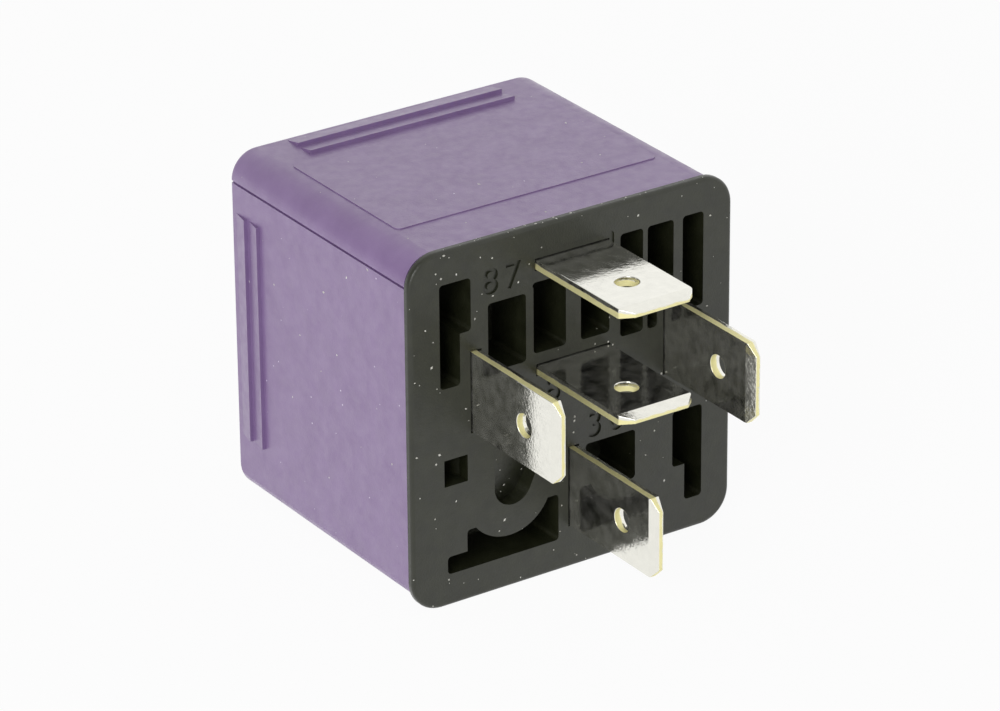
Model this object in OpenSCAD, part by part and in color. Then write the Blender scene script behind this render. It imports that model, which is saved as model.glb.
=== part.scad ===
// Automotive changeover relay with five blade terminals and a clipped-on cover.
// It lies on its side: the blades point towards -Y and the cover's back faces +Y.
// All sizes are millimetres.

/* [Housing] */
// Width and height of the square flange
housing_w = 28; // [27:0.1:31]
// Depth of the housing, from the terminal face to the cover's back
housing_d = 24.5; // [24:0.1:28]
// Thickness of the flange
flange_t = 0.6; // [0.5:0.05:0.8]
// Corner radius of the flange
flange_corner = 2.5; // [1.5:0.1:3]
// Rounding of the flange's front edge
flange_edge = 0.3; // [0.1:0.05:0.4]
// Distance from the terminal face to the inner floor of the base
base_d = 5.6; // [5.2:0.1:6.2]

/* [Cover] */
// Step from the flange's side down to the cover's side
cover_step = 0.3; // [0.2:0.05:0.5]
// Corner radius of the cover
cover_corner = 2.2; // [1.9:0.1:2.8]
// Rounding of the cover's back edge
cover_edge = 0.6; // [0.3:0.05:0.8]
// Wall thickness of the cover
cover_wall = 1; // [0.8:0.05:1.1]
// Shadow gap between the flange and the cover's rim
seam_gap = 0.45; // [0.2:0.05:0.5]
// Gap between the cover's wall and the base's plug
plug_gap = 0.1; // [0.05:0.01:0.2]
// Depth of the recessed panels on the cover's left and right sides
panel_depth = 0.16; // [0.05:0.01:0.25]
// Width of the margin above and below each recessed panel
panel_margin = 2.2; // [1.6:0.1:3]

/* [Grip ribs] */
// Length of a grip rib
rib_len = 18; // [10:0.5:20]
// Height of a grip rib's step
rib_h = 0.3; // [0.1:0.05:0.35]
// Length of a grip rib's ramp
rib_ramp = 1.5; // [0.8:0.1:1.6]
// Distance from one grip rib to the next
rib_pitch = 1.7; // [1.7:0.1:2.2]
// Number of grip ribs on a side
rib_count = 2; // [1:1:4]
// Distance from the cover's back to the nearest rib's step
rib_setback = 2.2; // [1.8:0.1:3]

/* [Label pad] */
// Distance from the raised pad's side to the cover's corner radius
pad_margin = 0.2; // [0:0.1:3]
// Distance from the raised pad to the nearest grip rib
pad_gap = 1; // [0.5:0.1:5]
// Height of the raised pad
pad_h = 0.08; // [0.04:0.01:0.15]
// Distance from the terminal face to the raised pad
pad_start = 5.5; // [4:0.1:5.6]

/* [Terminals] */
// Width of a blade
blade_w = 6.3; // [6:0.05:6.5]
// Thickness of a blade
blade_t = 0.8; // [0.6:0.05:0.9]
// Reach of a blade beyond the terminal face
blade_reach = 10.9; // [9:0.1:13]
// Chamfer at the corners of a blade's tip
tip_chamfer = 0.85; // [0.5:0.05:1.5]
// Length of the bevels that thin a blade's tip
tip_bevel = 1; // [0.3:0.05:1.2]
// Thickness that the bevels leave at a blade's tip
tip_t = 0.35; // [0.3:0.05:0.5]
// Diameter of the latch hole in a blade
latch_d = 1.8; // [1.2:0.05:2.2]
// Distance from a blade's tip to its latch hole
latch_from_tip = 4.3; // [3.5:0.05:5]
// Distance between the two coil blades
coil_pitch = 16.8; // [16.8:0.05:17.2]
// Height of the coil blades' centres above the housing's centre
row_rise = 2.5; // [2.4:0.05:2.6]
// Height of the normally closed blade above the coil blades' centres
closed_pitch = 0.2; // [0.1:0.05:0.3]
// Height of the normally open blade above the coil blades' centres
open_pitch = 8.4; // [8.3:0.05:8.5]
// Drop from the coil blades' centres to the common blade's centre
common_pitch = 9.9; // [9.8:0.05:10]
// Clearance on each side of a blade in its slot
slot_gap = 0.08; // [0.03:0.01:0.15]

/* [Pockets] */
// Width of the plain border round the pockets
border = 2.55; // [2.4:0.05:2.7]
// Depth of the pockets
pocket_d = 4.4; // [3:0.1:4.8]
// Corner radius of a pocket
pocket_r = 0.3; // [0.1:0.05:0.35]
// Radius of the round boss in the lower left pocket
boss_r = 3.7; // [3.2:0.1:4]
// Depth of the thumb recess at its deep end
recess_d = 1.4; // [0.6:0.1:2]
// Thinnest web between a pocket and a blade's slot
web_thin = 0.65; // [0.5:0.05:0.7]
// Web beside the wide pockets
web_mid = 0.95; // [0.85:0.05:1]
// Thickest web between the pockets
web_thick = 1.5; // [1.4:0.05:1.6]
// Depth of the shallow field round the normally open blade
field_d = 0.12; // [0.05:0.01:0.2]

/* [Magnet] */
// Diameter of the core
core_d = 6; // [5:0.1:6.5]
// Diameter of the core's pole head
pole_d = 9; // [8:0.1:10]
// Thickness of the core's pole head
pole_t = 0.9; // [0.7:0.05:1.2]
// Diameter of the core's riveted spigot
spigot_d = 4; // [3.5:0.1:4.4]
// Thickness of the yoke
yoke_t = 1.5; // [1.2:0.05:1.6]
// Width of the yoke
yoke_w = 13; // [11:0.1:13.4]
// Gap between the cover's inner wall and the yoke, which holds the return spring
yoke_gap = 2.7; // [2.6:0.05:2.9]
// Gap between the cover's back wall and the normally closed contact's arm
back_gap = 0.25; // [0.15:0.05:0.5]
// Side length of the bobbin's square flanges
bobbin_w = 13; // [12.4:0.1:13.4]
// Thickness of the bobbin's flanges
bobbin_t = 0.8; // [0.6:0.05:1]
// Thickness of the bobbin's tube
tube_t = 1; // [0.6:0.05:1.2]
// Outer diameter of the winding
winding_d = 12.2; // [11:0.1:12.3]

/* [Armature] */
// Thickness of the armature
armature_t = 1.2; // [1:0.05:1.25]
// Width of the armature
armature_w = 11; // [9:0.1:12]
// Radius of the yoke's bearing bead
bead_r = 0.45; // [0.4:0.01:0.5]
// Angle through which the armature rocks
rock_angle = 2.7; // [2:0.1:3]
// Thickness of the contact leaf
leaf_t = 0.3; // [0.2:0.05:0.35]
// Width of the contact leaf where it carries the contact
leaf_w = 4; // [3.2:0.1:4.4]
// Diameter of the contacts
contact_d = 3; // [2.4:0.1:3.2]
// Thickness of a contact's head
contact_t = 0.48; // [0.4:0.02:0.5]
// Radius of a moving contact's dome
dome_r = 6; // [5:0.5:10]
// Thickness of the terminals' strip inside the housing
strip_t = 0.8; // [0.6:0.05:0.85]

/* [Small parts] */
// Outer diameter of the return spring
spring_d = 2; // [1.6:0.05:2.1]
// Wire diameter of the return spring
spring_wire = 0.36; // [0.25:0.01:0.4]
// Number of turns of the return spring
spring_turns = 10; // [6:1:11]
// Diameter of the braid
braid_d = 1.2; // [0.8:0.05:1.3]
// Diameter of the resistor's body
resistor_d = 2.4; // [1.8:0.1:2.6]
// Length of the resistor's body
resistor_len = 6.4; // [5:0.1:7]
// Diameter of the resistor's leads
lead_d = 0.6; // [0.4:0.05:0.7]
// Diameter of the coil's leads
wire_d = 0.3; // [0.2:0.02:0.4]

/* [Hidden] */

$fn = 48;
// Fit between a pressed or riveted piece and its hole
fit = 0.03;
// Running clearance between the armature and what it rocks on or closes against
run = 0.05;
// Overshoot of a cut beyond the surface that it opens
over = 1;

// Row frame: the middle of the whole length lies over the origin
mid_y = (housing_d - blade_reach) / 2;

// Cover
cover_w = housing_w - 2 * cover_step;
rim_y = flange_t + seam_gap;
inner_w = cover_w - 2 * cover_wall;
inner_back = housing_d - cover_wall;
inner_z = cover_step + cover_wall;
inner_corner = cover_corner - cover_wall / 2;
centre_z = housing_w / 2;
plug_w = inner_w - 2 * plug_gap;

// Raised pad, between the flange and the grip ribs
last_rib_y = housing_d - rib_setback - (rib_count - 1) * rib_pitch;
pad_w = cover_w - 2 * (cover_corner + pad_margin);
pad_len = last_rib_y - pad_gap - pad_start;
pad_corner = 0.5;

// Snap lugs, top and bottom
lug_w = 8;
lug_h = 0.35;
lug_y = rim_y + 1.3;
lug_len = 1.8;
lug_root = 0.2;
lug_gap = 0.08;

// Blades: x and z of each centre
coil_x = coil_pitch / 2;
row_z = centre_z + row_rise;
closed_z = row_z + closed_pitch;
open_z = row_z + open_pitch;
common_z = row_z - common_pitch;
half_w = blade_w / 2;
half_t = blade_t / 2;
slot_w = blade_w + 2 * slot_gap;
slot_t = blade_t + 2 * slot_gap;

// Pocket field, inside the plain border
field_l = -housing_w / 2 + border;
field_r = housing_w / 2 - border;
field_b = border;
field_t = housing_w - border;

// Boss in the lower left pocket, and the thumb recess in it
boss_x = 2.8 - coil_x;
boss_z = common_z + 1.3;
recess_x = boss_x + 0.3;
recess_z = boss_z + 0.3;
recess_r = 1.6;
recess_h = 3.2;

// Heights inside, from the cover's lower wall upwards
yoke_z = inner_z + yoke_gap;
bobbin_seat = 0.3;
coil_z = yoke_z + yoke_t + bobbin_seat + bobbin_w / 2;
hinge_z = yoke_z + bead_r;
contact_inset = 0.45;
contact_z = open_z - half_t - contact_d / 2 - contact_inset;

// Normally closed contact, stacked from the cover's back wall towards -Y
nc_arm_y = inner_back - back_gap - strip_t;
nc_face = nc_arm_y - contact_t;
touch_gap = run + 0.02;

// Armature, hung so that its contact meets the closed one when it rocks open. The depth of
// its hinge is rounded down to a hundredth.
bead_sink = bead_r / 3;
bead_to_head = bead_sink + run + armature_t + leaf_t + contact_t;
swing = bead_to_head * cos(rock_angle) + (contact_z - hinge_z) * sin(rock_angle);
hinge_y = floor(100 * (nc_face - touch_gap - swing)) / 100;
pole_y = hinge_y + bead_sink;
under_y = pole_y + run;
leaf_y = under_y + armature_t;
armature_top = coil_z + pole_d / 2 + 0.8;
tail_w = 4;
tail_z = yoke_z - 2.1;
hook_z = yoke_z - spring_d / 2 - 0.25;
hook_hole_d = spring_wire + 0.5;

// Magnet, between the base's inner floor and the pole face
foot_y = base_d + strip_t;
bobbin_y = foot_y + yoke_t;
head_y = pole_y - pole_t;
foot_rise = 1.6;
yoke_foot_h = coil_z - yoke_z + spigot_d / 2 + foot_rise;
bore_d = core_d + 2 * run;
tube_d = bore_d + 2 * tube_t;

// Rivets: how far a head spreads beyond its shank, and its height
head_lip = 0.6;
head_h = 0.4;
rivet_x = 3.4;
rivet_d = 1.4;
rivet_z = coil_z - 0.3;

// Contact leaf
leaf_side = 1.3;
leaf_foot = 3.4;
leaf_taper = 2;
leaf_top = contact_z + contact_d / 2 + 0.3;

// Contacts and their arms
shank_d = 1.4;
no_face = leaf_y - contact_t - run;
no_arm_y = no_face - contact_t - strip_t;
arm_drop = contact_d + 1;
riser_w = 4.8;
nc_riser_x = -riser_w / 2 - 1.8;
nc_riser_w = 3.2;
nc_foot_h = 2.4;

// Coil posts and what is soldered to them
post_w = 2;
post_len = 4;
post_y = base_d + post_len;
joint_y = post_y - 0.6;
joint_d = 1.9;
touch = 0.02;
joint_z = row_z + post_w / 2 + lead_d / 2 + touch;
resistor_z = coil_z + bobbin_w / 2 + resistor_d / 2 + 1;
cap_len = resistor_len / 4;
waist_d = resistor_d * 0.86;

// Common foot strip and its rivet
strip_reach = inner_w / 2 - 2;
strip_rivet_x = 3.2;
strip_rivet_d = 2;

// Return spring's tab on the yoke
tab_y = bobbin_y + 0.5;
tab_w = 2.4;
tab_t = 0.8;

// ---- Helpers ----

// Moves a shape from the terminal-face frame to the row frame.
module placed() {
    translate([0, -mid_y, 0]) children();
}

// Swings the armature's pieces open by the rocking angle, about the bearing.
module at_rest() {
    translate([0, hinge_y, hinge_z]) rotate([-rock_angle, 0, 0])
        translate([0, -hinge_y, -hinge_z]) children();
}

// Cylinder along +Y from y, centred at x and z.
module rod_y(d, len, x = 0, y = 0, z = 0, d2 = -1) {
    translate([x, y, z]) rotate([-90, 0, 0])
        cylinder(h = len, d1 = d, d2 = d2 < 0 ? d : d2);
}

// Box between two corners.
module block(low, high) {
    translate(low) cube(high - low);
}

// Outline drawn in x and z, given a depth along +Y.
module along_y(len, y = 0) {
    translate([0, y + len, 0]) rotate([90, 0, 0]) linear_extrude(len) children();
}

// Outline drawn in y and z, given a width along X, centred.
module along_x(w, x = 0) {
    translate([x - w / 2, 0, 0]) rotate([90, 0, 90]) linear_extrude(w) children();
}

// Rectangle with round corners between two corners.
module round_rect(low, high, r) {
    translate([low[0] + r, low[1]])
        square([high[0] - low[0] - 2 * r, high[1] - low[1]]);
    translate([low[0], low[1] + r])
        square([high[0] - low[0], high[1] - low[1] - 2 * r]);
    for (x = [low[0] + r, high[0] - r], z = [low[1] + r, high[1] - r])
        translate([x, z]) circle(r);
}

// Square block of width w and depth len along +Y, centred on x = 0 and z = centre_z,
// with round corners and a rounded rim at its far end.
module soft_block(w, len, corner, edge) {
    straight = w - 2 * corner;
    module half_section(reach) {
        square([reach, len - edge]);
        square([reach - edge, len]);
        translate([reach - edge, len - edge]) circle(edge);
    }
    translate([0, 0, centre_z]) {
        for (x = [-1, 1], z = [-1, 1])
            translate([x * straight / 2, 0, z * straight / 2]) rotate([-90, 0, 0])
                rotate_extrude() half_section(corner);
        for (side = [0, 1]) mirror([side, 0, 0])
            translate([0, 0, -straight / 2]) linear_extrude(straight)
                half_section(w / 2);
        for (side = [0, 1]) mirror([0, 0, side])
            translate([straight / 2, 0, 0]) rotate([0, -90, 0]) linear_extrude(straight)
                half_section(w / 2);
    }
}

// Ring of points round one station of a path, in the plane normal to its tangent.
function unit(v) = v / norm(v);
function ring(p, t, r, sides) =
    let (a = unit(cross(t, abs(t[0]) > 0.9 * norm(t) ? [0, 0, 1] : [1, 0, 0])),
         b = unit(cross(t, a)))
    [for (k = [0 : sides - 1]) p + r * (cos(360 * k / sides) * a + sin(360 * k / sides) * b)];

// Round bar of radius r along a list of points.
module sweep(path, r, sides = 8) {
    n = len(path);
    tangents = [for (i = [0 : n - 1]) path[min(i + 1, n - 1)] - path[max(i - 1, 0)]];
    points = [for (i = [0 : n - 1]) each ring(path[i], tangents[i], r, sides)];
    walls = [for (i = [0 : n - 2], k = [0 : sides - 1])
        let (m = (k + 1) % sides)
        [i * sides + k, i * sides + m, (i + 1) * sides + m, (i + 1) * sides + k]];
    ends = [[for (k = [sides - 1 : -1 : 0]) k], [for (k = [0 : sides - 1]) (n - 1) * sides + k]];
    polyhedron(points, concat(walls, ends));
}

// Point at fraction s along a smooth curve through four points.
function blend4(p, s) =
    pow(1 - s, 3) * p[0] + 3 * s * pow(1 - s, 2) * p[1] + 3 * s * s * (1 - s) * p[2]
    + pow(s, 3) * p[3];

// ---- Cover ----

// Sawtooth grip ribs on a side whose surface is z = 0, with the steps facing -Y.
module grip_ribs() {
    for (i = [0 : rib_count - 1]) {
        step_y = housing_d - rib_setback - i * rib_pitch;
        along_x(rib_len) polygon([[step_y, -panel_depth], [step_y, rib_h],
                                  [step_y + rib_ramp, 0], [step_y + rib_ramp, -panel_depth]]);
    }
}

// Turns what is drawn on the top side round the housing's axis by quarter turns.
module on_side(turn) {
    translate([0, 0, centre_z]) rotate([0, 90 * turn, 0]) translate([0, 0, cover_w / 2])
        children();
}

// Wedge-shaped snap lug on the top side, with its steep face towards the flange.
module snap_lug(grow) {
    along_x(lug_w + 2 * grow) polygon([
        [lug_y - grow, plug_w / 2 - lug_root],
        [lug_y - grow, plug_w / 2 + lug_h + grow],
        [lug_y + lug_len / 3, plug_w / 2 + lug_h + grow],
        [lug_y + lug_len + grow, plug_w / 2],
        [lug_y + lug_len + grow, plug_w / 2 - lug_root]]);
}

module snap_lugs(grow = 0) {
    for (side = [0, 180])
        translate([0, 0, centre_z]) rotate([0, side, 0]) snap_lug(grow);
}

module cover() {
    color("mediumpurple") placed() {
        difference() {
            union() {
                translate([0, rim_y, 0])
                    soft_block(cover_w, housing_d - rim_y, cover_corner, cover_edge);
                for (turn = [0 : 3]) on_side(turn)
                    translate([0, 0, turn % 2 == 1 ? -panel_depth : 0]) grip_ribs();
                on_side(0) translate([0, pad_start, -panel_depth])
                    linear_extrude(panel_depth + pad_h)
                        round_rect([-pad_w / 2, 0], [pad_w / 2, pad_len], pad_corner);
            }
            translate([0, rim_y - over, 0])
                soft_block(inner_w, inner_back - rim_y + over, inner_corner, cover_edge);
            for (turn = [1, 3]) on_side(turn) difference() {
                block([-cover_w / 2 + panel_margin, rim_y - over, -panel_depth],
                      [cover_w / 2 - panel_margin, housing_d + over, over]);
                translate([0, 0, -panel_depth]) grip_ribs();
            }
            snap_lugs(lug_gap);
        }
    }
}

// ---- Base ----

// One pocket with round corners, sunk from the terminal face.
module pocket(x0, x1, z0, z1, deep = pocket_d) {
    r = min(pocket_r, (x1 - x0) / 3, (z1 - z0) / 3);
    along_y(deep + over, -over) round_rect([x0, z0], [x1, z1], r);
}

// Pockets that thin the moulding between the blades' slots.
module pockets() {
    left_face = -coil_x - half_t;
    right_face = coil_x + half_t;
    row_top = closed_z + half_w;
    narrow_x = coil_x - half_t - web_thick;
    narrow_rib = 0.4;
    between_z = closed_z + half_t + web_mid;
    under_open = open_z - half_t - web_mid;
    lower_top = common_z + 3.4;
    common_x = half_t + web_thin;
    common_w = 4.4;
    // Upper left, stepped to clear the left coil blade
    pocket(field_l, left_face, row_top + web_thick, field_t);
    pocket(field_l, left_face - web_mid, closed_z + web_thin, field_t);
    // Between the left coil blade and the contact blades
    pocket(-coil_x + half_t + web_thin, -half_w - web_mid, closed_z + web_mid,
           open_z - half_t - web_thick);
    // Two between the normally closed and the normally open blade
    pocket(-half_w - web_mid + web_thin, -web_thin, between_z, under_open);
    pocket(web_thin, half_w, between_z, under_open);
    // Two narrow ones right of the contact blades, the second stepped
    pocket(half_w + web_mid, narrow_x - narrow_rib, closed_z + web_thin, field_t);
    pocket(narrow_x, right_face, row_top + web_mid, field_t);
    pocket(narrow_x, coil_x - half_t - web_thin, closed_z + web_thin, field_t);
    // Beside the right coil blade, and below it
    pocket(right_face + web_thin + 0.15, field_r, between_z, field_t);
    pocket(right_face, field_r, common_z + half_t - web_thick, lower_top);
    pocket(coil_x + web_thick, field_r, field_b, lower_top);
    // Right of the common blade
    pocket(common_x, common_x + common_w, common_z - web_mid, lower_top - half_t);
    // Shallow field round the normally open blade
    pocket(-half_w - half_t, half_w + half_t, under_open - half_t, open_z + half_t + web_thin,
           field_d);
}

// Small square pocket at the left edge, whose floor rises towards the blades.
module key_pocket() {
    x0 = field_l + 0.25;
    x1 = -coil_x - 2 * half_t;
    z0 = closed_z - 7.1;
    z1 = z0 + 2.1;
    translate([0, 0, z0]) linear_extrude(z1 - z0)
        polygon([[x0, -over], [x1, -over], [x1, pocket_d / 4], [x0, pocket_d]]);
}

// Lower left pocket, stepped up to the right and cut back round the boss.
module boss_pocket() {
    right_x = -half_t - web_mid;
    floor_h = 1.4;
    shelf_h = 3.1;
    horn_w = 2.05;
    horn_h = 3.7;
    difference() {
        union() {
            pocket(field_l + 0.45, right_x, field_b, field_b + floor_h);
            pocket(boss_x - boss_r, right_x, field_b, field_b + shelf_h);
            pocket(right_x - horn_w, right_x, field_b, field_b + horn_h);
        }
        rod_y(2 * boss_r, pocket_d + 3 * over, boss_x, -2 * over, boss_z);
    }
}

// Thumb recess with a round end in the boss and a right side that leans outwards. Its floor
// slopes from flush at the upper left to its full depth at the lower right.
module thumb_recess() {
    lean = 25;
    right_foot = [recess_x, recess_z] + recess_r * [cos(lean), -sin(lean)];
    rise = recess_h + recess_r * sin(lean);
    run_down = (2 * recess_r + recess_h) * cos(45) + recess_r * (1 - cos(45));
    slope = atan(recess_d / run_down);
    intersection() {
        along_y(recess_d + over, -over) {
            translate([recess_x, recess_z]) circle(recess_r);
            polygon([[recess_x - recess_r, recess_z], right_foot,
                     right_foot + [rise * tan(lean), rise],
                     [recess_x - recess_r, recess_z + recess_h]]);
        }
        translate([recess_x - recess_r, 0, recess_z + recess_h]) rotate([0, 45, 0])
            rotate([0, 0, slope])
                block([-2 * run_down, -2 * run_down, -2 * run_down],
                      [2 * run_down, 0, 2 * run_down]);
    }
}

// Slot for a blade; upright blades stand along Z, level ones lie along X.
module slot(x, z, upright) {
    size = upright ? [slot_t, slot_w] : [slot_w, slot_t];
    block([x - size[0] / 2, -over, z - size[1] / 2],
          [x + size[0] / 2, base_d + over, z + size[1] / 2]);
}

module base() {
    pad_clear = 0.4;
    color("darkolivegreen") placed() {
        difference() {
            union() {
                translate([0, flange_t, 0]) mirror([0, 1, 0])
                    soft_block(housing_w, flange_t, flange_corner, flange_edge);
                along_y(base_d - flange_t, flange_t) translate([0, centre_z])
                    round_rect([-plug_w / 2, -plug_w / 2], [plug_w / 2, plug_w / 2],
                               inner_corner - plug_gap);
                snap_lugs();
                // Pads that carry the yoke's foot level with the common strip
                block([-yoke_w / 2, base_d - fit, yoke_z],
                      [-half_t - pad_clear, foot_y, common_z + half_w]);
                block([-yoke_w / 2 + 1, base_d - fit, common_z + half_w + pad_clear],
                      [yoke_w / 2 - 1, foot_y,
                       min(yoke_z + yoke_foot_h, closed_z - half_t - pad_clear)]);
            }
            slot(-coil_x, row_z, true);
            slot(coil_x, row_z, true);
            slot(0, common_z, true);
            slot(0, closed_z, false);
            slot(0, open_z, false);
            pockets();
            boss_pocket();
            key_pocket();
            thumb_recess();
            // Relief under the riveted spigot
            rod_y(spigot_d + 2 * head_lip + 0.2, strip_t, 0, base_d, coil_z);
        }
    }
}

// ---- Terminals ----

// Blade along -Y from the terminal face, lying flat in x and y, and running to y = back.
// Its tip is chamfered at the corners and bevelled on both faces.
module blade(back) {
    tip = -blade_reach;
    intersection() {
        translate([0, 0, -half_t]) linear_extrude(blade_t) difference() {
            polygon([[-half_w, back], [-half_w, tip + tip_chamfer], [-half_w + tip_chamfer, tip],
                     [half_w - tip_chamfer, tip], [half_w, tip + tip_chamfer], [half_w, back]]);
            translate([0, tip + latch_from_tip]) circle(d = latch_d);
        }
        along_x(blade_w) polygon([
            [back, -half_t], [tip + tip_bevel, -half_t], [tip, -tip_t / 2],
            [tip, tip_t / 2], [tip + tip_bevel, half_t], [back, half_t]]);
    }
}

// Blade that stands upright at x and z.
module upright_blade(x, z, back) {
    translate([x, 0, z]) rotate([0, 90, 0]) blade(back);
}

// Blade that lies level at height z.
module level_blade(z, back) {
    translate([0, 0, z]) blade(back);
}

module terminal_30() {
    color("gold") placed() {
        upright_blade(0, common_z, foot_y);
        difference() {
            block([-half_t, base_d, common_z - half_w], [strip_reach, foot_y, common_z + half_w]);
            rod_y(strip_rivet_d, strip_t + 2 * over, strip_rivet_x, base_d - over, common_z);
        }
    }
}

// Coil terminal with its winding post.
module coil_terminal(x) {
    upright_blade(x, row_z, base_d);
    block([x - half_t, base_d - over, row_z - post_w / 2],
          [x + half_t, post_y, row_z + post_w / 2]);
}

module terminal_85() {
    color("gold") placed() coil_terminal(coil_x);
}

module terminal_86() {
    color("gold") placed() coil_terminal(-coil_x);
}

// Contact arm in the x-z plane at depth y, with the hole for its contact's shank.
module contact_arm(x0, x1, y) {
    difference() {
        block([x0, y, contact_z - arm_drop / 2], [x1, y + strip_t, open_z + half_t]);
        rod_y(shank_d, strip_t + 2 * over, 0, y - over, contact_z);
    }
}

module terminal_87() {
    color("gold") placed() {
        level_blade(open_z, base_d);
        block([-riser_w / 2, base_d - over, open_z - half_t],
              [riser_w / 2, no_arm_y + strip_t, open_z + half_t]);
        contact_arm(-riser_w / 2, riser_w / 2, no_arm_y);
    }
}

module terminal_87a() {
    color("gold") placed() {
        left = nc_riser_x - nc_riser_w;
        level_blade(closed_z, foot_y);
        block([left, base_d, closed_z - half_t], [half_w, foot_y, closed_z + nc_foot_h]);
        block([left, base_d, closed_z - half_t], [nc_riser_x, foot_y, open_z + half_t]);
        block([left, base_d, open_z - half_t],
              [nc_riser_x, nc_arm_y + strip_t, open_z + half_t]);
        contact_arm(left, riser_w / 2, nc_arm_y);
    }
}

// ---- Magnet ----

module yoke() {
    color("lightsteelblue") placed() {
        bend = 1;
        tab_rim = 0.4;
        difference() {
            union() {
                along_x(yoke_w) difference() {
                    union() {
                        translate([foot_y, yoke_z]) square([yoke_t, yoke_foot_h]);
                        translate([foot_y, yoke_z]) square([pole_y - foot_y, yoke_t]);
                        translate([hinge_y, hinge_z]) circle(bead_r);
                    }
                    translate([foot_y, yoke_z]) difference() {
                        square(bend);
                        translate([bend, bend]) circle(bend);
                    }
                }
                block([-tab_w / 2, tab_y, hook_z - hook_hole_d / 2 - tab_rim],
                      [tab_w / 2, tab_y + tab_t, yoke_z + fit]);
            }
            rod_y(spigot_d + 2 * fit, yoke_t + 2 * over, 0, foot_y - over, coil_z);
            rod_y(spigot_d + 2 * head_lip + 2 * fit, head_h, 0, foot_y, coil_z,
                  spigot_d + 2 * fit);
            rod_y(strip_rivet_d, yoke_t + 2 * over, strip_rivet_x, foot_y - over, common_z);
            rod_y(hook_hole_d, tab_t + 2 * over, 0, tab_y - over, hook_z);
        }
    }
}

module core() {
    color("silver") placed() {
        rod_y(spigot_d + 2 * head_lip, head_h, 0, foot_y, coil_z, spigot_d);
        rod_y(spigot_d, yoke_t, 0, foot_y, coil_z);
        rod_y(core_d, head_y - bobbin_y, 0, bobbin_y, coil_z);
        rod_y(pole_d, pole_t, 0, head_y, coil_z);
    }
}

module bobbin() {
    color("dimgray") placed() {
        half = bobbin_w / 2;
        difference() {
            union() {
                for (y = [bobbin_y, head_y - bobbin_t])
                    along_y(bobbin_t, y) translate([0, coil_z])
                        round_rect([-half, -half], [half, half], 1);
                rod_y(tube_d, head_y - bobbin_y, 0, bobbin_y, coil_z);
            }
            rod_y(bore_d, head_y - bobbin_y + 2 * over, 0, bobbin_y - over, coil_z);
        }
    }
}

module coil_winding() {
    color("sienna") placed() {
        y0 = bobbin_y + bobbin_t;
        y1 = head_y - bobbin_t;
        difference() {
            rod_y(winding_d, y1 - y0, 0, y0, coil_z);
            rod_y(tube_d + 2 * fit, y1 - y0 + 2 * over, 0, y0 - over, coil_z);
        }
    }
}

module coil_leads() {
    color("chocolate") placed() {
        leave = winding_d / 2 + wire_d / 2 + touch;
        post_x = coil_x - half_t - wire_d / 2 - touch;
        for (side = [-1, 1])
            sweep([[side * leave * cos(30), joint_y, coil_z + leave * sin(30)],
                   [side * (post_x - 0.3), joint_y, row_z - 0.4],
                   [side * post_x, joint_y, row_z],
                   [side * post_x, joint_y, joint_z - joint_d / 2]], wire_d / 2);
    }
}

module solder_joints() {
    color("lightgray") placed() {
        for (side = [0, 1]) mirror([side, 0, 0]) difference() {
            translate([coil_x, joint_y, joint_z]) sphere(d = joint_d);
            block([coil_x - half_t, base_d, row_z - post_w / 2 - over],
                  [coil_x + half_t, post_y, row_z + post_w / 2]);
            translate([coil_x, joint_y, joint_z - lead_d / 2]) cylinder(h = joint_d, d = lead_d);
        }
    }
}

// ---- Armature and contacts ----

module armature() {
    color("lightsteelblue") placed() at_rest() {
        difference() {
            union() {
                block([-armature_w / 2, under_y, yoke_z], [armature_w / 2, leaf_y, armature_top]);
                block([-tail_w / 2, under_y, tail_z], [tail_w / 2, leaf_y, yoke_z + fit]);
            }
            translate([-armature_w / 2 - over, hinge_y, hinge_z]) rotate([0, 90, 0])
                cylinder(h = armature_w + 2 * over, r = bead_r + run);
            for (x = [-rivet_x, rivet_x])
                rod_y(rivet_d + 2 * fit, armature_t + 2 * over, x, under_y - over, rivet_z);
            rod_y(hook_hole_d, armature_t + 2 * over, 0, under_y - over, hook_z);
        }
    }
}

module contact_leaf() {
    color("goldenrod") placed() at_rest() {
        low = rivet_z - leaf_foot;
        shoulder = armature_top - 1;
        wide = 2 * (rivet_x + leaf_side);
        difference() {
            along_y(leaf_t, leaf_y) {
                translate([-wide / 2, low]) square([wide, shoulder - low]);
                polygon([[-wide / 2, shoulder], [wide / 2, shoulder],
                         [leaf_w / 2, shoulder + leaf_taper],
                         [-leaf_w / 2, shoulder + leaf_taper]]);
                translate([-leaf_w / 2, shoulder]) square([leaf_w, leaf_top - shoulder]);
            }
            for (x = [-rivet_x, rivet_x])
                rod_y(rivet_d + 2 * fit, leaf_t + 2 * over, x, leaf_y - over, rivet_z);
            rod_y(shank_d + 2 * fit, leaf_t + 2 * over, 0, leaf_y - over, contact_z);
        }
    }
}

module leaf_rivets() {
    color("silver") placed() at_rest() {
        for (x = [-rivet_x, rivet_x]) {
            rod_y(rivet_d, armature_t + leaf_t, x, under_y, rivet_z);
            rod_y(rivet_d + 2 * head_lip, head_h, x, leaf_y + leaf_t, rivet_z,
                  rivet_d + head_lip);
        }
    }
}

// Round contact head with a domed face, drawn from y = 0 towards +Y.
module domed_head() {
    rotate([-90, 0, 0]) rotate_extrude() intersection() {
        square([contact_d / 2, contact_t]);
        translate([0, contact_t - dome_r]) circle(dome_r, $fn = 180);
    }
}

module moving_contact() {
    color("silver") placed() at_rest() {
        rod_y(shank_d, leaf_t, 0, leaf_y, contact_z);
        translate([0, leaf_y + leaf_t, contact_z]) domed_head();
        translate([0, leaf_y, contact_z]) mirror([0, 1, 0]) domed_head();
    }
}

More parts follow.
